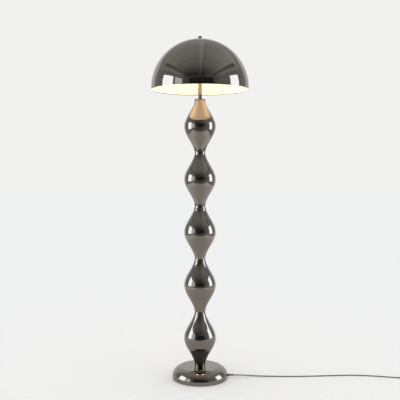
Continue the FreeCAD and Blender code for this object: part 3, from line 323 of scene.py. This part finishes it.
def shade_finish():
    material, tree, shader, place = new_material("shade_chrome_and_enamel")
    parts = add(tree, "ShaderNodeSeparateXYZ", {"Vector": place})
    above = add(tree, "ShaderNodeMath", {0: parts.outputs["Z"], 1: DOME_CENTRE},
                operation="SUBTRACT")
    rise = add(tree, "ShaderNodeMath", {0: above.outputs[0], 1: 0.0}, operation="MAXIMUM")
    spoke = add(tree, "ShaderNodeCombineXYZ", {
        "X": parts.outputs["X"], "Y": parts.outputs["Y"], "Z": rise.outputs[0]})
    distance = add(tree, "ShaderNodeVectorMath", {0: spoke.outputs[0]}, operation="LENGTH")
    inside = add(tree, "ShaderNodeMath", {
        0: distance.outputs["Value"], 1: DOME_RADIUS - SHEET / 2}, operation="LESS_THAN")
    mask = inside.outputs[0]
    tree.links.new(
        mix_colours(tree, mask, DARK_CHROME, linear("#f6f2ea")), shader.inputs["Base Color"])
    tree.links.new(between(tree, mask, 1.0, 0.0), shader.inputs["Metallic"])
    chrome_roughness = haze(tree, place, 0.05, 0.09)
    roughness = add(tree, "ShaderNodeMix", {0: mask, 2: chrome_roughness, 3: 0.38},
                    data_type="FLOAT")
    tree.links.new(roughness.outputs[0], shader.inputs["Roughness"])
    peel = add(tree, "ShaderNodeMath", {0: grain(tree, place, 0.0025), 1: mask},
               operation="MULTIPLY")
    bump(tree, shader, peel.outputs[0], 0.00006)
    return material


chrome_and_enamel = shade_finish()
print("made", chrome_and_enamel.name)

# %% [markdown]
# ## Metals inside the lamp
#
# Threaded pipes, nuts, screws and the rod are steel with a thin coat of zinc: pale grey with a
# yellow-blue tint that changes from patch to patch. Threads would be far too fine as geometry, so a
# wave across the axis draws them. Cast iron comes out of its sand mould rough and is washed black.

# %% Zinc-plated steel, with and without a thread
def zinc(name, thread=None, axis="Z"):
    material, tree, shader, place = new_material(name)
    tint = mix_colours(tree, grain(tree, place, 0.006), linear("#b9bab4"), linear("#c9c3ad"))
    tree.links.new(tint, shader.inputs["Base Color"])
    set_inputs(shader, Metallic=1.0)
    tree.links.new(between(tree, grain(tree, place, 0.002), 0.25, 0.45), shader.inputs["Roughness"])
    if thread:
        bump(tree, shader, rings(tree, place, thread, axis), 0.0005)
    else:
        bump(tree, shader, grain(tree, place, 0.0008), 0.00002)
    return material


plain_zinc = zinc("zinc_plated_steel")
pipe_thread = zinc("zinc_plated_thread", thread=0.0015)
side_pipe_thread = zinc("zinc_plated_side_thread", thread=0.001, axis="X")
print("made three zinc finishes")

# %% Cast iron, brass, bulb caps and nickel pins
def cast_iron():
    material, tree, shader, place = new_material("black_washed_cast_iron")
    patches = grain(tree, place, 0.004)
    tree.links.new(
        mix_colours(tree, patches, linear("#1c1c1c"), linear("#3a3835")), shader.inputs["Base Color"])
    set_inputs(shader, Metallic=0.6, Roughness=0.75)
    sand = add(tree, "ShaderNodeMath", {0: grain(tree, place, 0.0012), 1: patches}, operation="ADD")
    bump(tree, shader, sand.outputs[0], 0.0004)
    return material


def pressed_metal(name, light, dark, roughness, thread=None):
    """A soft metal pressed thin: brass shells and contacts, bulb caps, nickel-plated pins."""
    material, tree, shader, place = new_material(name)
    tint = mix_colours(tree, grain(tree, place, 0.003), linear(light), linear(dark))
    tree.links.new(tint, shader.inputs["Base Color"])
    set_inputs(shader, Metallic=1.0)
    drift = between(tree, grain(tree, place, 0.0015), roughness - 0.08, roughness + 0.08)
    tree.links.new(drift, shader.inputs["Roughness"])
    if thread:
        bump(tree, shader, rings(tree, place, thread, "X"), 0.0009)
    else:
        bump(tree, shader, grain(tree, place, 0.0006), 0.00001)
    return material


iron = cast_iron()
SCREW_CAP_PITCH = 0.0036
brass_shell = pressed_metal("brass_shell", "#c9a25a", "#b08a45", 0.30, SCREW_CAP_PITCH)
brass_contact = pressed_metal("brass_contact", "#c9a25a", "#b08a45", 0.30)
bulb_cap = pressed_metal("aluminium_bulb_cap", "#c8c8c6", "#b4b4b2", 0.35, SCREW_CAP_PITCH)
nickel = pressed_metal("nickel_plated_pin", "#c6c0b6", "#b3ada3", 0.22)
print("made cast iron and four pressed metals")

# %% [markdown]
# ## Plastics, porcelain and felt
#
# The holders are phenolic, which comes out of its mould glossy and black. Foot switch, plug and
# grommet are softer plastics with the fine etched grain of their moulds. The cord's sheath is
# smooth PVC, mid grey with a touch of green. All of them are dielectrics, so their colour is in
# the base and the gloss comes from the usual index of refraction.

# %% Moulded plastics and the cord's sheath
def moulded(name, colour, shade, roughness, grain_size, depth, coat=0.0):
    """A moulded plastic: two near colours in slow patches and the mould's own grain."""
    material, tree, shader, place = new_material(name)
    tint = mix_colours(tree, grain(tree, place, 0.012), linear(colour), linear(shade))
    tree.links.new(tint, shader.inputs["Base Color"])
    set_inputs(shader, Coat_Weight=coat, Coat_Roughness=0.1)
    drift = between(tree, grain(tree, place, 0.008), roughness - 0.05, roughness + 0.05)
    tree.links.new(drift, shader.inputs["Roughness"])
    bump(tree, shader, grain(tree, place, grain_size), depth)
    return material


sheath = moulded("grey_pvc_sheath", "#6f716a", "#666861", 0.42, 0.0012, 0.00002)
inner_sheath = moulded("wire_insulation", "#cfcabd", "#c4beb0", 0.45, 0.001, 0.00001)
soft_black = moulded("black_grained_plastic", "#1b1b1b", "#222221", 0.55, 0.0005, 0.00003)
dark_grey = moulded("dark_grey_grained_plastic", "#2a2a2a", "#313130", 0.5, 0.0006, 0.00004)
phenolic = moulded("black_phenolic", "#121110", "#191715", 0.18, 0.002, 0.00001, coat=0.3)
nylon = moulded("white_nylon", "#dcdad2", "#d2cfc5", 0.4, 0.001, 0.00002)
porcelain = moulded("glazed_porcelain", "#e6e3da", "#dcd8cc", 0.12, 0.004, 0.00002, coat=0.6)
enamel = moulded("white_stove_enamel", "#e9e3d3", "#e2dbc9", 0.3, 0.0025, 0.00005, coat=0.2)
print("made eight moulded or painted finishes")

# %% Felt
FIBRE_SIZE = 0.0007


def felt():
    """Pressed wool: no gloss, a mat of short fibres with a soft sheen at its edge."""
    material, tree, shader, place = new_material("black_felt")
    fibres = add(tree, "ShaderNodeTexVoronoi", {"Vector": place, "Scale": 1 / FIBRE_SIZE})
    tree.links.new(
        mix_colours(tree, fibres.outputs["Distance"], linear("#141414"), linear("#2c2b2a")),
        shader.inputs["Base Color"])
    set_inputs(shader, Roughness=0.95, Sheen_Weight=0.4, Sheen_Roughness=0.5)
    bump(tree, shader, fibres.outputs["Distance"], 0.0003)
    return material


black_felt = felt()
print("made", black_felt.name)

# %% [markdown]
# ## The lit bulbs
#
# The bulbs are opal glass and lit. Nobody sees the filament through opal glass: the whole globe
# glows. So the glass itself emits warm light, and its surface keeps the smooth gloss of glass.
# The strength is set so that the enamel inside the shade comes out as bright as in the picture.

# %% Opal glass
BULB_LIGHT = linear("#ffdaa4")
BULB_STRENGTH = 21.0


def opal_glass():
    material, tree, shader, place = new_material("lit_opal_glass")
    tree.links.new(
        mix_colours(tree, grain(tree, place, 0.01), linear("#f4efe4"), linear("#efe8da")),
        shader.inputs["Base Color"])
    set_inputs(shader, Roughness=0.15, Emission_Color=BULB_LIGHT, Emission_Strength=BULB_STRENGTH)
    bump(tree, shader, grain(tree, place, 0.006), 0.00002)
    return material


glass = opal_glass()
print("made", glass.name)

# %% [markdown]
# ## Which piece has which finish
#
# The CAD pieces arrive with plain stand-in materials. Each gets its real finish in its first
# material slot. Names are matched by their stems, so that all five bulges take one entry.

# %% Give the pieces their finishes
FINISHES = {
    "base_pad": black_felt, "base_plate": plain_zinc, "plate_screws": plain_zinc,
    "base_weight": iron, "base_cover": chrome, "base_washer": plain_zinc,
    "pipe_nuts": plain_zinc, "rod_nuts": plain_zinc, "neck_ring": chrome, "column_": chrome,
    "centring_disc": nylon, "lower_pipe": pipe_thread, "upper_pipe": pipe_thread,
    "pipe_coupler": plain_zinc, "upper_tube": chrome, "cluster_": enamel,
    "side_nipples": side_pipe_thread, "holder_wires": inner_sheath, "lampholder": phenolic,
    "holder_insert": porcelain, "screw_shell": brass_shell, "centre_contact": brass_contact,
    "bulb_cap": bulb_cap, "bulb_glass": glass, "shade_rod": pipe_thread, "shade_seat": nylon,
    "shade": chrome_and_enamel, "finial_knob": chrome, "inner_lead": sheath, "cord_": sheath,
    "cord_grommet": soft_black, "plug_sleeve": soft_black, "plug_body": dark_grey,
    "plug_pins": nickel, "switch_tray": dark_grey, "switch_cover": dark_grey,
    "switch_button": soft_black, "switch_contacts": nylon, "switch_spring": plain_zinc,
    "switch_screws": plain_zinc,
}


def finish_of(name):
    """The finish with the longest stem that the name starts with."""
    stems = [stem for stem in FINISHES if name.startswith(stem)]
    return FINISHES[max(stems, key=len)]


def wear(piece, material):
    piece.data.materials.clear()
    piece.data.materials.append(material)


for name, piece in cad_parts.items():
    wear(piece, finish_of(name))
wear(cord, sheath)
print("finished", len(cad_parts) + 1, "pieces")

# %% [markdown]
# ## The hem of the shade
#
# Thin sheet with a raw edge cuts hands and buckles, so the spinner rolls the rim inwards over a
# wire. The hem is a ring of round section, as thick as a match, in the same dark chrome. It shows
# in the picture as the thin dark line around the bright inside.

# %% Rolled hem
RIM_HEIGHT = 1.263
HEM_RADIUS = 0.0013
HEM_STEPS = 192
HEM_SIDES = 12


def ring_mesh(name, ring_radius, height, tube_radius, steps, sides):
    """A ring of round section about the lamp's axis."""
    corners = []
    for step in range(steps):
        turn = 2 * math.pi * step / steps
        for side in range(sides):
            angle = 2 * math.pi * side / sides
            reach = ring_radius + tube_radius * math.cos(angle)
            corners.append((
                reach * math.cos(turn), reach * math.sin(turn),
                height + tube_radius * math.sin(angle)))
    faces = []
    for step in range(steps):
        here, there = step * sides, (step + 1) % steps * sides
        for side in range(sides):
            above = (side + 1) % sides
            faces.append((here + side, there + side, there + above, here + above))
    mesh = bpy.data.meshes.new(name)
    mesh.from_pydata(corners, [], faces)
    mesh.polygons.foreach_set("use_smooth", [True] * len(faces))
    made = bpy.data.objects.new(name, mesh)
    bpy.context.scene.collection.objects.link(made)
    return made


hem = ring_mesh(
    "shade_hem", DOME_RADIUS - HEM_RADIUS, RIM_HEIGHT + HEM_RADIUS, HEM_RADIUS, HEM_STEPS, HEM_SIDES)
wear(hem, chrome)
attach(hem, "shade")
print("hem", 2000 * HEM_RADIUS, "mm thick")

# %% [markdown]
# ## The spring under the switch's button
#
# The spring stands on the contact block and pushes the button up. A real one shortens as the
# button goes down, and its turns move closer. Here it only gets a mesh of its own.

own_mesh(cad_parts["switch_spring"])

# %% [markdown]
# ## The floor
#
# The ground is a plain pale sweep with no edge in sight. It is a matt floor under even light, so it
# comes out as bright as the background and the two meet without a line. Mirrors don't see it: the
# painted room below has its own floor, which lets the metal reflect what the picture shows.

# %% Floor
FLOOR_HALF = 30.0
FLOOR_COLOUR = linear("#f3f4f4")

floor_mesh = bpy.data.meshes.new("floor")
floor_mesh.from_pydata(
    [(-FLOOR_HALF, -FLOOR_HALF, 0), (FLOOR_HALF, -FLOOR_HALF, 0),
     (FLOOR_HALF, FLOOR_HALF, 0), (-FLOOR_HALF, FLOOR_HALF, 0)],
    [], [(0, 1, 2, 3)])
floor = bpy.data.objects.new("floor", floor_mesh)
bpy.context.scene.collection.objects.link(floor)
floor_material, _, floor_shader, _ = new_material("pale_floor")
set_inputs(floor_shader, Base_Color=FLOOR_COLOUR, Roughness=1.0, Specular_IOR_Level=0.0)
wear(floor, floor_material)
floor.visible_glossy = False
print("floor", 2 * FLOOR_HALF, "m wide")

# %% [markdown]
# ## The room that the metal reflects
#
# A mirror shows what is around it, so dark chrome needs a room. The bulges and the dome of the
# photograph are good enough mirrors to measure it: the lamp stands on a white paper sweep about
# four metres wide, which rises behind it. Beyond its edge the floor is dark, the far wall behind
# the photographer is darker, and tall windows stand to the left and right. What is near is built
# of flat glowing panels, so that each bulge sees it from its own height. Only mirrors see any of
# this. The camera sees plain grey, and matt surfaces get plain even light.

# %% A material that glows, and a panel that only mirrors see
def glowing(name):
    """A material with one emission shader, and the place in the room in metres."""
    material = bpy.data.materials.new(name)
    material.use_nodes = True
    tree = material.node_tree
    tree.nodes.clear()
    place = add(tree, "ShaderNodeNewGeometry").outputs["Position"]
    glow = add(tree, "ShaderNodeEmission")
    add(tree, "ShaderNodeOutputMaterial", {"Surface": glow.outputs[0]})
    return material, tree, glow, place


def room_panel(name, corners, material):
    mesh = bpy.data.meshes.new(name)
    mesh.from_pydata(corners, [], [(0, 1, 2, 3)])
    panel = bpy.data.objects.new(name, mesh)
    bpy.context.scene.collection.objects.link(panel)
    wear(panel, material)
    for sight in ("camera", "diffuse", "transmission", "volume_scatter", "shadow"):
        setattr(panel, "visible_" + sight, False)


def smooth_step(tree, value, start, end, low=0.0, high=1.0):
    """From low at start to high at end, smooth between."""
    made = add(tree, "ShaderNodeMapRange", {
        "Value": value, "From Min": start, "From Max": end, "To Min": low, "To Max": high},
        interpolation_type="SMOOTHSTEP")
    return made.outputs["Result"]


def calculate(tree, operation, first, second=0.0):
    """The result of one sum, such as ADD or MULTIPLY, on two numbers or sockets."""
    return add(tree, "ShaderNodeMath", {0: first, 1: second}, operation=operation).outputs[0]


print("room helpers ready")

# %% The windows
WALL_AWAY = 4.1
WINDOW_TOP = 2.82
DAYLIGHT = (0.93, 1.0, 1.08)
BRIGHT_WINDOW = 4.15
GREY_WINDOW = 1.6


def window(name, wall, near, far, light):
    """A window from the floor up in a side wall, between two distances along the room."""
    material, _, glow, _ = glowing(name)
    glow.inputs["Color"].default_value = (*DAYLIGHT, 1)
    glow.inputs["Strength"].default_value = light
    room_panel(name, [
        (wall, near, 0), (wall, far, 0), (wall, far, WINDOW_TOP), (wall, near, WINDOW_TOP),
    ], material)


window("left_window", -WALL_AWAY, -2.02, 0.33, BRIGHT_WINDOW)
window("left_grey_window", -WALL_AWAY, -4.75, -2.50, GREY_WINDOW)
window("right_window", WALL_AWAY, -1.22, 0.72, BRIGHT_WINDOW)
print("three windows")

# %% The sweep and the dark floor around it
SWEEP_LEFT, SWEEP_RIGHT = -2.05, 1.85
SWEEP_FRONT, SWEEP_BACK = -1.38, 1.5
SWEEP_TOP = 2.5
EDGE_BLUR = 0.06
ROOM_FLOOR_HALF = 12.0
BELOW_FLOOR = -0.002
PAPER_MIDDLE, PAPER_SIDES = 0.66, 1.06
BARE_FLOOR_FAR, BARE_FLOOR_NEAR = 0.11, 0.27
BARE_FLOOR_START = -3.3
WINDOW_LIGHT_ON_FLOOR = 0.22
SWEEP_LIGHT = 0.86
FLOOR_WARMTH = (1.04, 1.0, 0.96, 1)


def room_floor():
    """White paper that is brightest towards the windows, and a floor that darkens with distance."""
    material, tree, glow, place = glowing("room_floor")
    parts = add(tree, "ShaderNodeSeparateXYZ", {"Vector": place})
    across, along = parts.outputs["X"], parts.outputs["Y"]
    aside = calculate(tree, "ABSOLUTE", across)
    paper = smooth_step(tree, aside, 0.1, 1.5, PAPER_MIDDLE, PAPER_SIDES)
    bare = smooth_step(
        tree, along, BARE_FLOOR_START, SWEEP_FRONT, BARE_FLOOR_FAR, BARE_FLOOR_NEAR)
    daylight = smooth_step(tree, aside, 1.0, 3.0, 0.0, WINDOW_LIGHT_ON_FLOOR)
    bare = calculate(tree, "ADD", bare, daylight)
    on_paper = calculate(
        tree, "MULTIPLY",
        smooth_step(tree, across, SWEEP_LEFT - EDGE_BLUR, SWEEP_LEFT + EDGE_BLUR),
        smooth_step(tree, across, SWEEP_RIGHT + EDGE_BLUR, SWEEP_RIGHT - EDGE_BLUR))
    on_paper = calculate(
        tree, "MULTIPLY", on_paper,
        smooth_step(tree, along, SWEEP_FRONT - EDGE_BLUR, SWEEP_FRONT + EDGE_BLUR))
    light = add(tree, "ShaderNodeMix", {0: on_paper, 2: bare, 3: paper}, data_type="FLOAT")
    tree.links.new(light.outputs[0], glow.inputs["Strength"])
    glow.inputs["Color"].default_value = FLOOR_WARMTH
    return material


room_panel("room_floor", [
    (side * ROOM_FLOOR_HALF, end * ROOM_FLOOR_HALF, BELOW_FLOOR)
    for side, end in ((-1, -1), (1, -1), (1, 1), (-1, 1))
], room_floor())

sweep_material, _, sweep_glow, _ = glowing("upright_sweep")
sweep_glow.inputs["Strength"].default_value = SWEEP_LIGHT
room_panel("upright_sweep", [
    (SWEEP_LEFT, SWEEP_BACK, 0), (SWEEP_RIGHT, SWEEP_BACK, 0),
    (SWEEP_RIGHT, SWEEP_BACK, SWEEP_TOP), (SWEEP_LEFT, SWEEP_BACK, SWEEP_TOP),
], sweep_material)
print("sweep and dark floor")

# %% Walls and ceiling
ROOM_FAR = -9.0
ROOM_NEAR = 1.5
CEILING_BACK = 2.5
ROOM_LEFT, ROOM_RIGHT = -6, 8
CEILING = 4.6
RIGHT_WALL_FAR = -6.8
BEHIND_WINDOW = 0.03
WALL_WARMTH = (1.0, 1.0, 0.98, 1)
FAR_WALL_WARMTH = (1.05, 1.0, 0.93, 1)

# How bright each part of the room is, as a share of white.
WALL_FAR, WALL_NEAR = 0.17, 0.38
RAIL_LIGHT = 0.20
UNDER_BEAM = 0.62
STRIP_LIGHT = 0.10
FOLD_LIGHT = 0.08
CEILING_FAR, CEILING_NEAR = 0.08, 0.56
RIGHT_CEILING_LIGHT = 0.13
CROSS_BEAM_SPACING = 2.4
CROSS_BEAM_SHADE = 0.90
TRACK_LIGHT = 0.10
GAP_SHADE = 0.09


def side_wall():
    """Pale near the windows and darker far away, with a rail of light and a dark beam on top."""
    material, tree, glow, place = glowing("side_wall")
    parts = add(tree, "ShaderNodeSeparateXYZ", {"Vector": place})
    along, up = parts.outputs["Y"], parts.outputs["Z"]
    wall = smooth_step(tree, along, -7.5, -1.5, WALL_FAR, WALL_NEAR)
    rail = calculate(
        tree, "MULTIPLY", smooth_step(tree, up, 3.45, 3.55), smooth_step(tree, up, 3.85, 3.75))
    rail = calculate(tree, "MULTIPLY", rail, smooth_step(tree, along, -5.5, -4.0, 0.0, RAIL_LIGHT))
    beam = smooth_step(tree, up, 4.10, 4.20, 1.0, UNDER_BEAM)
    light = calculate(tree, "MULTIPLY", calculate(tree, "ADD", wall, rail), beam)
    tree.links.new(light, glow.inputs["Strength"])
    glow.inputs["Color"].default_value = WALL_WARMTH
    return material


def far_wall():
    """Nearly black, with a paler strip under the ceiling."""
    material, tree, glow, place = glowing("far_wall")
    parts = add(tree, "ShaderNodeSeparateXYZ", {"Vector": place})
    strip = smooth_step(tree, parts.outputs["Z"], 4.0, 4.2, 0.0, STRIP_LIGHT)
    noise = add(tree, "ShaderNodeTexNoise", {
        "Vector": parts.outputs["X"], "Scale": 2.5, "Detail": 2.0})
    folds = calculate(tree, "MULTIPLY", noise.outputs["Fac"], FOLD_LIGHT)
    light = calculate(tree, "ADD", strip, folds)
    tree.links.new(light, glow.inputs["Strength"])
    glow.inputs["Color"].default_value = FAR_WALL_WARMTH
    return material


def ceiling_light():
    """Grey, paler towards the lamp, with cross beams and a long light track in the middle."""
    material, tree, glow, place = glowing("ceiling")
    parts = add(tree, "ShaderNodeSeparateXYZ", {"Vector": place})
    across, along = parts.outputs["X"], parts.outputs["Y"]
    plain = smooth_step(tree, along, -7.5, 1.2, CEILING_FAR, CEILING_NEAR)
    plain = calculate(
        tree, "ADD", plain, smooth_step(tree, across, 0.3, 4.0, 0.0, RIGHT_CEILING_LIGHT))
    beat = calculate(
        tree, "SINE", calculate(tree, "MULTIPLY", along, 2 * math.pi / CROSS_BEAM_SPACING))
    beams = smooth_step(tree, beat, 0.80, 0.95, 1.0, CROSS_BEAM_SHADE)
    track = calculate(
        tree, "MULTIPLY",
        smooth_step(tree, across, -0.06, 0.0), smooth_step(tree, across, 0.34, 0.28))
    gap = calculate(
        tree, "MULTIPLY",
        smooth_step(tree, across, 0.34, 0.40), smooth_step(tree, across, 0.62, 0.50))
    light = calculate(tree, "MULTIPLY", plain, beams)
    light = calculate(tree, "ADD", light, calculate(tree, "MULTIPLY", track, TRACK_LIGHT))
    light = calculate(tree, "SUBTRACT", light, calculate(tree, "MULTIPLY", gap, GAP_SHADE))
    tree.links.new(light, glow.inputs["Strength"])
    glow.inputs["Color"].default_value = WALL_WARMTH
    return material


wall_finish = side_wall()
for name, wall, far_end in (
    ("left_wall", -WALL_AWAY - BEHIND_WINDOW, ROOM_FAR),
    ("right_wall", WALL_AWAY + BEHIND_WINDOW, RIGHT_WALL_FAR),
):
    room_panel(name, [
        (wall, far_end, 0), (wall, ROOM_NEAR, 0), (wall, ROOM_NEAR, CEILING), (wall, far_end, CEILING),
    ], wall_finish)
room_panel("far_wall", [
    (ROOM_LEFT, ROOM_FAR, 0), (ROOM_RIGHT, ROOM_FAR, 0),
    (ROOM_RIGHT, ROOM_FAR, CEILING), (ROOM_LEFT, ROOM_FAR, CEILING),
], far_wall())
room_panel("ceiling", [
    (ROOM_LEFT, ROOM_FAR, CEILING), (ROOM_RIGHT, ROOM_FAR, CEILING),
    (ROOM_RIGHT, CEILING_BACK, CEILING), (ROOM_LEFT, CEILING_BACK, CEILING),
], ceiling_light())
print("walls and ceiling")

# %% What mirrors, the camera and matt surfaces see
BACKGROUND = linear("#f1f1f0")
EVEN_LIGHT = 0.97
LOW_SKY, HIGH_SKY = 0.45, 0.60

world = bpy.data.worlds.new("studio")
bpy.context.scene.world = world
world.use_nodes = True
sky = world.node_tree
sky.nodes.clear()
up = add(sky, "ShaderNodeSeparateXYZ", {
    "Vector": add(sky, "ShaderNodeTexCoord").outputs["Generated"]}).outputs["Z"]
behind = smooth_step(sky, up, 0.5, 0.9, LOW_SKY, HIGH_SKY)
room = add(sky, "ShaderNodeCombineColor", {"Red": behind, "Green": behind, "Blue": behind})
room = room.outputs[0]
rays = add(sky, "ShaderNodeLightPath")
seen = mix_colours(
    sky, rays.outputs["Is Glossy Ray"], (EVEN_LIGHT, EVEN_LIGHT, EVEN_LIGHT, 1), room)
seen = mix_colours(sky, rays.outputs["Is Camera Ray"], seen, BACKGROUND)
background = add(sky, "ShaderNodeBackground", {"Color": seen})
add(sky, "ShaderNodeOutputWorld", {"Surface": background.outputs[0]})
bpy.context.scene.view_settings.view_transform = "Standard"
print("world ready")
